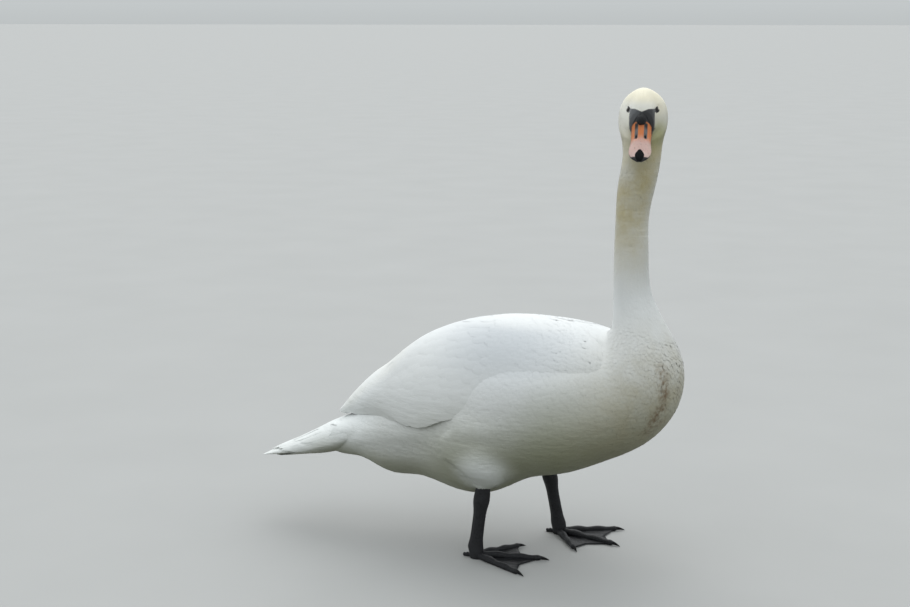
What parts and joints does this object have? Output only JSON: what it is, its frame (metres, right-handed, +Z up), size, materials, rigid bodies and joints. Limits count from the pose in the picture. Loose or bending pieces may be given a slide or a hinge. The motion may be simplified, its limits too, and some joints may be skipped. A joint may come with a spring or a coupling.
{
  "type": "mute swan",
  "caption": "Life-size standing mute swan, wings folded, neck upright and head turned to its right, orange bill with black knob, webbed feet flat on the floor.",
  "frame": {"origin": "on the floor, under the middle of the bird's bounding box", "axes": "+X forward along the trunk from tail to breast, +Y to the bird's left, +Z up"},
  "size_m": [0.8352, 0.3054, 0.8498],
  "materials": {
    "plumage": "matt white feathers",
    "tail_feathers": "matt white tail feathers",
    "bill_orange": "smooth satin horn, orange turning pink at the tip",
    "bare_black": "smooth satin black horn and bare skin",
    "leg_skin": "finely scaled dark grey skin",
    "eye": "wet gloss, very dark brown"
  },
  "bodies": {
    "root": {"trunk": "plumage", "neck_lower": "plumage", "neck_upper": "plumage", "head": "plumage", "wing_right": "plumage", "wing_left": "plumage", "thigh_right": "plumage", "thigh_left": "plumage", "tail": "tail_feathers", "bill_upper": "bill_orange", "bill_nail": "bare_black", "bill_knob": "bare_black", "bill_lower": "bare_black", "shank_right": "leg_skin", "foot_right": "leg_skin", "eye_right": "eye", "claw_inner_right": "bare_black", "claw_middle_right": "bare_black", "claw_outer_right": "bare_black", "shank_left": "leg_skin", "foot_left": "leg_skin", "eye_left": "eye", "claw_inner_left": "bare_black", "claw_middle_left": "bare_black", "claw_outer_left": "bare_black"}
  },
  "joints": []
}
